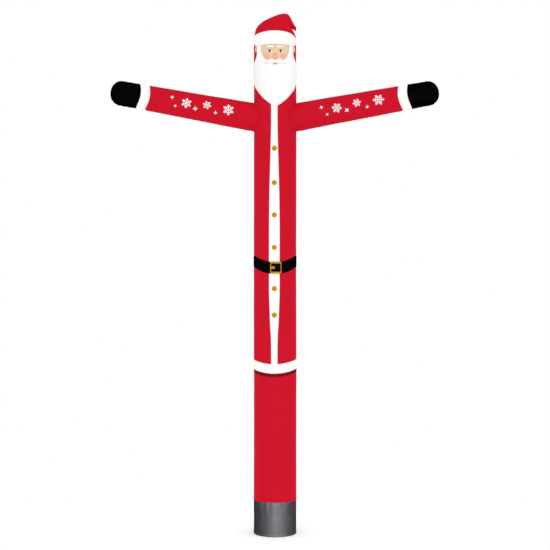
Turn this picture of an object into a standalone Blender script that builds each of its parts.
"""Inflatable air dancer: a tall cloth tube filled by a blower at its foot, with two raised
arms, sewn up as a bearded winter figure in a belted coat, cap and mitts.

Metres, +Z up. The tube's axis is the Z axis, its open foot stands on z = 0, and the figure
faces -Y. Each cut of cloth is its own solid, 0.3 mm from what it is sewn to. The tube and
the arms are polygons in section, and every sewn-on cut lies on the same facets.
"""

import math

import bmesh
import bpy
from mathutils import Vector

# Cloth
CLOTH = 0.002  # the tubes' wall
PATCH = 0.0015  # a sewn-on cut
GAP = 0.0003  # between pieces face to face
EDGE_GAP = 0.0006  # between two cuts that lie side by side
FIRST_LAYER = GAP  # lift of a cut sewn to the tube
SECOND_LAYER = FIRST_LAYER + PATCH + GAP
THIRD_LAYER = SECOND_LAYER + PATCH + GAP

# Tube: its foot slips over a 457 mm blower outlet
TUBE_R = 0.232
TUBE_FACETS = 40
TUBE_STEP = 2 * math.pi / TUBE_FACETS
FACET_WIDTH = 2 * TUBE_R * math.sin(TUBE_STEP / 2)

# Heights of the seams where one tube ends and the next begins, on the tube's sides
BASE_SEAM = 0.366
BASE_SEAM_RISE = 0.008  # higher by this at the front and the back
HEM_SEAM = 1.840
WAIST_SEAM = 2.957
HAT_SEAM = 5.420

# Bands round the tube: their heights at its sides, and how far they sag at the front
HEM_STRIP_LOW = 1.7755
HEM_BAND_LOW = 1.811
HEM_BAND_HIGH = 1.9145
HEM_SAG = 0.0385
BELT_LOW = 2.929
BELT_HIGH = 3.0595
BELT_SAG = 0.077
HAT_BAND_LOW = 5.352
HAT_BAND_HIGH = 5.459
HAT_BAND_RISE = 0.040  # its upper edge is higher by this at the front
HAT_BAND_TILT = 0.008  # and higher by this on the -X side, lower on the +X side

# Front trim: half its width at each height
PLACKET_X = -0.0085
PLACKET_ROWS = (
    # height, half_width
    (1.830, 0.0335),
    (2.050, 0.0343),
    (2.182, 0.0370),
    (2.312, 0.0455),
    (2.443, 0.0505),
    (2.573, 0.0550),
    (2.703, 0.0572),
    (3.310, 0.0575),
    (3.527, 0.0558),
    (3.744, 0.0532),
    (3.950, 0.0480),
    (4.417, 0.0355),
)
PLACKET_TOP_HALF = 0.0345
PLACKET_TOP_STEPS = 6

# Buttons
BUTTON_X = -0.008
BUTTON_R = 0.0270
BUTTON_SIDES = 24
BUTTON_HEIGHTS = (4.219, 3.845, 3.496, 3.143, 2.696, 2.409)

# Buckle
BUCKLE_X = 0.009
BUCKLE_Z = 2.924
BUCKLE_HALF_WIDTH = 0.0605
BUCKLE_HALF_HEIGHT = 0.0637
BUCKLE_CORNER_R = 0.014
BUCKLE_SIDE_BAR = 0.0108
BUCKLE_LEVEL_BAR = 0.0195
BUCKLE_HOLE_CORNER_R = 0.008
TONGUE_LENGTH = 0.040
TONGUE_HALF = 0.0148
CORNER_STEPS = 4

# Beard and side hair: the outer edge of one half, from under the cap down to the point
BEARD_EDGE = (
    # degrees_from_front, height
    (58, 5.3514),
    (58.5, 5.305),
    (57.5, 5.262),
    (59, 5.243),
    (62, 5.221),
    (68, 5.200),
    (76, 5.182),
    (84, 5.168),
    (92, 5.152),
    (99, 5.134),
    (104, 5.108),
    (106, 5.070),
    (105, 5.030),
    (101, 4.990),
    (90, 4.952),
    (78, 4.922),
    (66, 4.888),
    (54, 4.847),
    (42, 4.807),
    (31, 4.764),
    (20, 4.723),
)
BEARD_POINT_HALF = 0.0455
BEARD_POINT_HIGH = 4.688
BEARD_POINT_DIP = 0.022
BEARD_POINT_STEPS = 8

# The opening that the side hair and the beard leave for the face, one half, top to bottom
FACE_EDGE = (
    # degrees_from_front, height
    (41, 5.3514),
    (41, 5.310),
    (39, 5.270),
    (36, 5.236),
    (31, 5.207),
    (24, 5.183),
    (12, 5.165),
    (0, 5.160),
)
FACE_CENTRE_Z = 5.26

# Moustache, one half, from its top middle round its end to its bottom middle
MOUSTACHE_EDGE = (
    # degrees_from_front, height
    (0, 5.181),
    (6, 5.190),
    (13, 5.187),
    (20, 5.176),
    (27, 5.160),
    (35, 5.146),
    (29, 5.135),
    (21, 5.129),
    (12, 5.132),
    (4, 5.144),
    (0, 5.151),
)

# Cap: its sections from the seam up, each turned further over towards +X
HAT_SECTIONS = (
    # centre_x, centre_z, tilt_degrees, half_width, half_depth
    (0.000, 5.4203, 0.0, 0.2320, 0.2320),
    (0.003, 5.484, 5.5, 0.2276, 0.2285),
    (0.0098, 5.532, 11.0, 0.2153, 0.2200),
    (0.0298, 5.5739, 16.5, 0.1845, 0.2020),
    (0.0562, 5.6044, 24.0, 0.1481, 0.1800),
    (0.0838, 5.6290, 35.0, 0.1179, 0.1540),
    (0.1139, 5.6447, 51.0, 0.0960, 0.1290),
    (0.1408, 5.6502, 67.0, 0.0850, 0.1110),
    (0.165, 5.640, 79.0, 0.0715, 0.0900),
    (0.192, 5.607, 82.0, 0.0480, 0.0650),
    (0.214, 5.581, 84.0, 0.0310, 0.0430),
    (0.229, 5.564, 88.0, 0.0190, 0.0260),
)
HAT_TIP_LENGTH = 0.009

# Arms: distances along the arm's axis, from the tube's axis
ARM_RISE = math.radians(10.25)
ARM_Z = 4.5415  # where the arms' axes cross the tube's
ARM_FACETS = 24
ARM_STEP = 2 * math.pi / ARM_FACETS
ARM_ROOT = 0.236
ARM_ROOT_R = 0.154
WRIST = 1.370
WRIST_R = 0.136
ARM_START = 0.10  # inside the tube, before the sleeve is cut to it
CUFF_SAG = 0.041  # how far the cuff's edges bow towards the body at the front
MITT_DOME = 0.106  # length of the round end
MITT_DOME_POWER = 0.86
MITT_DOME_RINGS = 6
ARMS = (
    # name, side, cuff_start, cuff_end, mitt_tip
    ("left", -1, 1.427, 1.541, 1.846),
    ("right", 1, 1.401, 1.517, 1.838),
)
CUTTER_LOW = 4.2
CUTTER_HIGH = 4.9
ARMHOLE_CUTTER_END = 0.5


def srgb(red, green, blue):
    """A display colour, 0 to 255, as the linear values that a shader takes."""
    shares = [part / 255 for part in (red, green, blue)]
    linear = [s / 12.92 if s <= 0.04045 else ((s + 0.055) / 1.055) ** 2.4 for s in shares]
    return (*linear, 1.0)


MATERIALS = {
    # name: colour, roughness, metallic
    "red_cloth": (srgb(205, 27, 44), 0.55, 0.0),
    "grey_cloth": (srgb(72, 72, 76), 0.50, 0.0),
    "maroon_cloth": (srgb(122, 15, 26), 0.55, 0.0),
    "white_cloth": (srgb(248, 248, 246), 0.60, 0.0),
    "black_cloth": (srgb(12, 11, 12), 0.50, 0.0),
    "gold_cloth": (srgb(214, 152, 22), 0.35, 0.5),
    "skin_cloth": (srgb(243, 197, 155), 0.60, 0.0),
}


def clear_scene():
    for obj in list(bpy.data.objects):
        bpy.data.objects.remove(obj, do_unlink=True)


def make_materials():
    made = {}
    for name, (colour, roughness, metallic) in MATERIALS.items():
        material = bpy.data.materials.new(name)
        material.use_nodes = True
        shader = material.node_tree.nodes["Principled BSDF"]
        shader.inputs["Base Color"].default_value = colour
        shader.inputs["Roughness"].default_value = roughness
        shader.inputs["Metallic"].default_value = metallic
        material.diffuse_color = colour
        made[name] = material
    return made


def add_object(name, points, faces, material):
    """A mesh object with its faces turned outwards and its round stretches shaded smooth."""
    data = bpy.data.meshes.new(name)
    data.from_pydata([tuple(point) for point in points], [], faces)
    mesh = bmesh.new()
    mesh.from_mesh(data)
    bmesh.ops.recalc_face_normals(mesh, faces=mesh.faces[:])
    mesh.to_mesh(data)
    mesh.free()
    data.shade_smooth()
    data.set_sharp_from_angle(angle=math.radians(30))
    data.materials.append(material)
    obj = bpy.data.objects.new(name, data)
    bpy.context.scene.collection.objects.link(obj)
    return obj


def corner_turns(facets):
    return range(facets)


def polygon_point(radius, turn, facets):
    """A point of a regular polygon as (across, towards_front), its turn counted in facets."""
    step = 2 * math.pi / facets
    before = math.floor(turn)
    ends = [Vector((math.sin(k * step), math.cos(k * step))) for k in (before, before + 1)]
    return radius * ends[0].lerp(ends[1], turn - before)


def on_tube(turn, height, lift):
    """A point on the tube's facets, or off them by a lift, its turn counted from the front."""
    radius = TUBE_R + lift / math.cos(TUBE_STEP / 2)
    across, forward = polygon_point(radius, turn, TUBE_FACETS)
    return Vector((across, -forward, height))


def arm_radius(along):
    share = min(1.0, (along - ARM_ROOT) / (WRIST - ARM_ROOT))
    return ARM_ROOT_R + share * (WRIST_R - ARM_ROOT_R)


def arm_frame(side):
    """The arm's axis and the direction square to it that points up."""
    axis = Vector((side * math.cos(ARM_RISE), 0, math.sin(ARM_RISE)))
    upward = Vector((-side * math.sin(ARM_RISE), 0, math.cos(ARM_RISE)))
    return axis, upward


def arm_point(side, turn, along, radius):
    """A point of the arm's section; its corners are half a facet off the front."""
    axis, upward = arm_frame(side)
    angle = (turn + 0.5) * ARM_STEP
    out = math.sin(angle) * upward + math.cos(angle) * Vector((0, -1, 0))
    return Vector((0, 0, ARM_Z)) + along * axis + radius * out


def arm_ring(side, along, radius):
    return [arm_point(side, turn, along, radius) for turn in corner_turns(ARM_FACETS)]


def shell(name, outer, inner, material):
    """A wall between two stacks of rings, open where both stacks end in a ring and closed
    where they end in a single point."""
    count = len(outer[0])
    points = []
    faces = []

    def add_ring(ring):
        points.extend(ring)
        return list(range(len(points) - len(ring), len(points)))

    def join(low, high):
        for k in range(count):
            after = (k + 1) % count
            if len(high) == 1:
                faces.append((low[k], low[after], high[0]))
            else:
                faces.append((low[k], low[after], high[after], high[k]))

    outer_rings = [add_ring(ring) for ring in outer]
    inner_rings = [add_ring(ring) for ring in inner]
    for stack in (outer_rings, inner_rings):
        for low, high in zip(stack, stack[1:]):
            join(low, high)
    join(outer_rings[0], inner_rings[0])
    if len(outer[-1]) > 1:
        join(outer_rings[-1], inner_rings[-1])
    return add_object(name, points, faces, material)


def edge_at(level, rise=0.0, tilt=0.0):
    """The height of an edge round the tube at each turn: a level on its sides, more by the
    rise at the front and the back, and more by the tilt on the -X side."""

    def height(turn):
        angle = turn * TUBE_STEP
        return level + rise * math.cos(angle) ** 2 - tilt * math.sin(angle)

    return height


def tube_band(name, low, high, lift, thickness, material):
    """A band of cloth all round the tube between two edges; lift is a function of the turn."""

    def ring(edge, extra):
        turns = corner_turns(TUBE_FACETS)
        return [on_tube(turn, edge(turn), lift(turn) + extra) for turn in turns]

    outer = [ring(low, thickness), ring(high, thickness)]
    inner = [ring(low, 0), ring(high, 0)]
    return shell(name, outer, inner, material)


def tube_section(name, low, high, material):
    return tube_band(name, low, high, lambda turn: -CLOTH, CLOTH, material)


def on_first_layer(turn):
    return FIRST_LAYER


def over_placket(turn):
    """The lift of a band that passes over the front trim and lies on the tube elsewhere."""
    covered = 3
    from_front = min(turn, TUBE_FACETS - turn)
    return SECOND_LAYER if from_front <= covered else FIRST_LAYER


def fill_outlines(outlines):
    """A flat mesh inside closed outlines of (arc, height), cut along the tube's corners."""
    mesh = bmesh.new()
    for outline in outlines:
        corners = [mesh.verts.new((arc, 0, height)) for arc, height in outline]
        for first, second in zip(corners, corners[1:] + corners[:1]):
            mesh.edges.new((first, second))
    bmesh.ops.triangle_fill(mesh, edges=mesh.edges[:], use_beauty=True)
    bmesh.ops.dissolve_limit(
        mesh, angle_limit=0.01, verts=[], edges=[e for e in mesh.edges if not e.is_boundary]
    )
    arcs = [corner.co.x for corner in mesh.verts]
    first = math.ceil(min(arcs) / FACET_WIDTH)
    last = math.floor(max(arcs) / FACET_WIDTH)
    for k in range(first, last + 1):
        bmesh.ops.bisect_plane(
            mesh,
            geom=mesh.verts[:] + mesh.edges[:] + mesh.faces[:],
            dist=1e-6,
            plane_co=(k * FACET_WIDTH, 0, 0),
            plane_no=(1, 0, 0),
        )
    bmesh.ops.triangulate(mesh, faces=mesh.faces[:])
    mesh.verts.index_update()
    return mesh


def tube_patch(name, outlines, lift, material):
    """A cut of cloth laid on the tube; outlines are (arc from the front, height), the first
    its edge and any others holes in it."""
    flat = fill_outlines(outlines)
    count = len(flat.verts)
    under = [on_tube(v.co.x / FACET_WIDTH, v.co.z, lift) for v in flat.verts]
    over = [on_tube(v.co.x / FACET_WIDTH, v.co.z, lift + PATCH) for v in flat.verts]
    faces = []
    for face in flat.faces:
        corners = [v.index for v in face.verts]
        faces.append(corners)
        faces.append([k + count for k in reversed(corners)])
    for edge in flat.edges:
        if edge.is_boundary:
            first, second = (v.index for v in edge.verts)
            faces.append((first, second, second + count, first + count))
    flat.free()
    return add_object(name, under + over, faces, material)


def arc_of(degrees):
    """The length round the tube's facets from the front to an angle."""
    turn = math.radians(degrees) / TUBE_STEP
    return turn * FACET_WIDTH


def both_halves(half):
    """An outline from one half's (arc, height) points, which start and end off the middle or
    on it, by adding their mirror image."""
    mirrored = [(-arc, height) for arc, height in reversed(half) if abs(arc) > 1e-9]
    return half + mirrored


def point_edge(half_width, high, dip, steps):
    """The bowed lower end of the beard, from its right corner to its left one."""
    outline = []
    for k in range(steps + 1):
        share = 1 - 2 * k / steps
        outline.append((share * half_width, high - dip * (1 - share**2)))
    return outline


def make_tubes(cloth):
    """The foot, the leg and the coat, one tube above the other."""
    base_seam = edge_at(BASE_SEAM, BASE_SEAM_RISE)
    leg_start = edge_at(BASE_SEAM + GAP, BASE_SEAM_RISE)
    tube_section("base_sleeve", edge_at(0), base_seam, cloth["grey_cloth"])
    tube_section("leg_tube", leg_start, edge_at(HEM_SEAM), cloth["red_cloth"])
    tube_section("coat_skirt", edge_at(HEM_SEAM + GAP), edge_at(WAIST_SEAM), cloth["red_cloth"])
    return tube_section(
        "coat_body", edge_at(WAIST_SEAM + GAP), edge_at(HAT_SEAM), cloth["red_cloth"]
    )


def make_bands(cloth):
    """The trims that go all the way round the tube."""
    hem_low = edge_at(HEM_BAND_LOW, -HEM_SAG)
    hem_high = edge_at(HEM_BAND_HIGH, -HEM_SAG)
    tube_band("hem_band", hem_low, hem_high, over_placket, PATCH, cloth["white_cloth"])
    strip_low = edge_at(HEM_STRIP_LOW, -HEM_SAG)
    strip_high = edge_at(HEM_BAND_LOW - EDGE_GAP, -HEM_SAG)
    tube_band("hem_strip", strip_low, strip_high, on_first_layer, PATCH, cloth["maroon_cloth"])
    belt_low = edge_at(BELT_LOW, -BELT_SAG)
    belt_high = edge_at(BELT_HIGH, -BELT_SAG)
    tube_band("belt", belt_low, belt_high, over_placket, PATCH, cloth["black_cloth"])
    hat_low = edge_at(HAT_BAND_LOW)
    hat_high = edge_at(HAT_BAND_HIGH, HAT_BAND_RISE, HAT_BAND_TILT)
    tube_band("hat_band", hat_low, hat_high, on_first_layer, PATCH, cloth["white_cloth"])


def make_placket(material):
    """The front trim, its top cut to the beard's point."""
    right = [(PLACKET_X + half, height) for height, half in PLACKET_ROWS]
    left = [(PLACKET_X - half, height) for height, half in reversed(PLACKET_ROWS)]
    high = BEARD_POINT_HIGH - EDGE_GAP
    top = []
    for k in range(PLACKET_TOP_STEPS + 1):
        arc = PLACKET_X + PLACKET_TOP_HALF * (1 - 2 * k / PLACKET_TOP_STEPS)
        share = arc / BEARD_POINT_HALF
        top.append((arc, high - BEARD_POINT_DIP * (1 - share**2) - EDGE_GAP))
    tube_patch("placket", [right + top + left], FIRST_LAYER, material)


def make_buttons(material):
    for k, height in enumerate(BUTTON_HEIGHTS, start=1):
        outline = []
        for side in range(BUTTON_SIDES):
            angle = 2 * math.pi * (side + 0.5) / BUTTON_SIDES
            arc = BUTTON_X + BUTTON_R * math.cos(angle)
            outline.append((arc, height + BUTTON_R * math.sin(angle)))
        tube_patch(f"button_{k}", [outline], SECOND_LAYER, material)


def corner_arc(centre_x, centre_z, radius, start_degrees):
    """A quarter circle, counter-clockwise from an angle."""
    points = []
    for k in range(CORNER_STEPS + 1):
        angle = math.radians(start_degrees + 90 * k / CORNER_STEPS)
        points.append((centre_x + radius * math.cos(angle), centre_z + radius * math.sin(angle)))
    return points


def rounded_box(centre_x, centre_z, half_width, half_height, radius):
    """A rectangle with round corners, counter-clockwise from its right side's top."""
    x, z = half_width - radius, half_height - radius
    corners = ((x, z, 0), (-x, z, 90), (-x, -z, 180), (x, -z, 270))
    points = []
    for dx, dz, start in corners:
        points += corner_arc(centre_x + dx, centre_z + dz, radius, start)
    return points


def make_buckle(material):
    """An upright frame and the tongue that reaches into it from its -X bar, in one cut."""
    outside = rounded_box(
        BUCKLE_X, BUCKLE_Z, BUCKLE_HALF_WIDTH, BUCKLE_HALF_HEIGHT, BUCKLE_CORNER_R
    )
    hole_half_width = BUCKLE_HALF_WIDTH - BUCKLE_SIDE_BAR
    hole_half_height = BUCKLE_HALF_HEIGHT - BUCKLE_LEVEL_BAR
    hole = rounded_box(
        BUCKLE_X, BUCKLE_Z, hole_half_width, hole_half_height, BUCKLE_HOLE_CORNER_R
    )
    per_corner = CORNER_STEPS + 1
    root_x = BUCKLE_X - hole_half_width
    end_x = root_x + TONGUE_LENGTH - TONGUE_HALF
    tongue = [(root_x, BUCKLE_Z + TONGUE_HALF)]
    for k in range(2 * CORNER_STEPS + 1):
        angle = math.radians(90 - 90 * k / CORNER_STEPS)
        step_out = TONGUE_HALF * math.cos(angle)
        tongue.append((end_x + step_out, BUCKLE_Z + TONGUE_HALF * math.sin(angle)))
    tongue.append((root_x, BUCKLE_Z - TONGUE_HALF))
    hole = hole[: 2 * per_corner] + tongue + hole[2 * per_corner :]
    tube_patch("buckle", [outside, hole], THIRD_LAYER, material)


def make_head(cloth):
    """The face panel, the beard with the side hair, and the moustache."""
    face_half = [(arc_of(degrees), height) for degrees, height in FACE_EDGE]
    beard_half = [(arc_of(degrees), height) for degrees, height in BEARD_EDGE]
    point = point_edge(BEARD_POINT_HALF, BEARD_POINT_HIGH, BEARD_POINT_DIP, BEARD_POINT_STEPS)
    left_edge = [(-arc, height) for arc, height in reversed(beard_half)]
    opening_left = [(-arc, height) for arc, height in face_half]
    opening_right = list(reversed(face_half[:-1]))
    beard = beard_half + point + left_edge + opening_left + opening_right
    tube_patch("beard", [beard], FIRST_LAYER, cloth["white_cloth"])

    panel = []
    for arc, height in both_halves(face_half):
        inward = Vector((arc, height - FACE_CENTRE_Z)).normalized() * 2 * EDGE_GAP
        top = min(height - inward.y, FACE_EDGE[0][1])
        panel.append((arc - inward.x, top))
    tube_patch("face_panel", [panel], FIRST_LAYER, cloth["skin_cloth"])

    moustache_half = [(arc_of(degrees), height) for degrees, height in MOUSTACHE_EDGE]
    moustache = both_halves(moustache_half)
    tube_patch("moustache", [moustache], SECOND_LAYER, cloth["white_cloth"])


def hat_ring(section, inset):
    """One section of the cap, an ellipse leant over towards +X."""
    centre_x, centre_z, tilt_degrees, half_width, half_depth = section
    tilt = math.radians(tilt_degrees)
    ring = []
    for turn in corner_turns(TUBE_FACETS):
        angle = turn * TUBE_STEP
        across = (half_width - inset) * math.sin(angle)
        forward = (half_depth - inset) * math.cos(angle)
        x = centre_x + across * math.cos(tilt)
        z = centre_z - across * math.sin(tilt)
        ring.append(Vector((x, -forward, z)))
    return ring


def make_hat(material):
    """The cap's bag, whose sections lean over until its tip points to +X."""
    outer = [hat_ring(section, 0) for section in HAT_SECTIONS]
    inner = [hat_ring(section, CLOTH) for section in HAT_SECTIONS]
    tip_x, tip_z, tip_tilt, _, _ = HAT_SECTIONS[-1]
    tilt = math.radians(tip_tilt)
    ahead = Vector((math.sin(tilt), 0, math.cos(tilt)))
    tip = Vector((tip_x, 0, tip_z))
    outer.append([tip + HAT_TIP_LENGTH * ahead])
    inner.append([tip + (HAT_TIP_LENGTH - CLOTH) * ahead])
    shell("hat_crown", outer, inner, material)


def cutter_from(obj):
    obj.hide_render = True
    obj.display_type = "WIRE"
    return obj


def cut(obj, cutter):
    modifier = obj.modifiers.new(f"cut_{cutter.name}", "BOOLEAN")
    modifier.operation = "DIFFERENCE"
    modifier.solver = "EXACT"
    modifier.object = cutter


def plug(name, low_ring, high_ring, material):
    """A solid between two rings, for cutting."""
    count = len(low_ring)
    faces = [list(range(count)), list(range(count, 2 * count))]
    for k in range(count):
        after = (k + 1) % count
        faces.append((k, after, after + count, k + count))
    return cutter_from(add_object(name, low_ring + high_ring, faces, material))


def make_sleeve(name, side, cuff_start, cuff_end, tube_cutter, cloth):
    """A tapered sleeve, cut to the tube's outside, and the armhole's cutter."""
    seam = (cuff_start + cuff_end) / 2 - GAP / 2
    stations = [ARM_START, WRIST, seam]
    outer = [arm_ring(side, along, arm_radius(along)) for along in stations]
    inner = [arm_ring(side, along, arm_radius(along) - CLOTH) for along in stations]
    cut(shell(f"sleeve_{name}", outer, inner, cloth["red_cloth"]), tube_cutter)
    hole_ends = [
        arm_ring(side, along, arm_radius(along) - CLOTH)
        for along in (ARM_START, ARMHOLE_CUTTER_END)
    ]
    return plug(f"armhole_cutter_{name}", *hole_ends, cloth["red_cloth"])


def make_mitt(name, side, cuff_start, cuff_end, tip, material):
    """A short tube with a round closed end."""
    seam = (cuff_start + cuff_end) / 2 + GAP / 2
    dome_start = tip - MITT_DOME
    outer = [arm_ring(side, seam, WRIST_R)]
    inner = [arm_ring(side, seam, WRIST_R - CLOTH)]
    for k in range(MITT_DOME_RINGS):
        angle = math.pi / 2 * k / MITT_DOME_RINGS
        narrow = math.cos(angle) ** MITT_DOME_POWER
        ahead = math.sin(angle) ** MITT_DOME_POWER
        along = dome_start + MITT_DOME * ahead
        outer.append(arm_ring(side, along, WRIST_R * narrow))
        inner_along = dome_start + (MITT_DOME - CLOTH) * ahead
        inner.append(arm_ring(side, inner_along, (WRIST_R - CLOTH) * narrow))
    axis, _ = arm_frame(side)
    centre = Vector((0, 0, ARM_Z))
    outer.append([centre + tip * axis])
    inner.append([centre + (tip - CLOTH) * axis])
    shell(f"mitt_{name}", outer, inner, material)


def make_cuff(name, side, cuff_start, cuff_end, material):
    """A band over the seam of sleeve and mitt, its edges bowed towards the body in front."""

    def ring(along, lift):
        points = []
        for turn in corner_turns(ARM_FACETS):
            angle = (turn + 0.5) * ARM_STEP
            bowed = along - CUFF_SAG * math.cos(angle) ** 2
            radius = WRIST_R + lift / math.cos(ARM_STEP / 2)
            points.append(arm_point(side, turn, bowed, radius))
        return points

    outer = [ring(along, FIRST_LAYER + PATCH) for along in (cuff_start, cuff_end)]
    inner = [ring(along, FIRST_LAYER) for along in (cuff_start, cuff_end)]
    shell(f"cuff_{name}", outer, inner, material)


def make_arms(coat_body, cloth):
    ends = [
        [on_tube(turn, height, GAP) for turn in corner_turns(TUBE_FACETS)]
        for height in (CUTTER_LOW, CUTTER_HIGH)
    ]
    tube_cutter = plug("tube_cutter", *ends, cloth["red_cloth"])
    for name, side, cuff_start, cuff_end, mitt_tip in ARMS:
        armhole = make_sleeve(name, side, cuff_start, cuff_end, tube_cutter, cloth)
        cut(coat_body, armhole)
        make_mitt(name, side, cuff_start, cuff_end, mitt_tip, cloth["black_cloth"])
        make_cuff(name, side, cuff_start, cuff_end, cloth["white_cloth"])


def main():
    clear_scene()
    cloth = make_materials()
    coat_body = make_tubes(cloth)
    make_bands(cloth)
    make_placket(cloth["white_cloth"])
    make_buttons(cloth["gold_cloth"])
    make_buckle(cloth["gold_cloth"])
    make_head(cloth)
    make_hat(cloth["red_cloth"])
    make_arms(coat_body, cloth)


main()
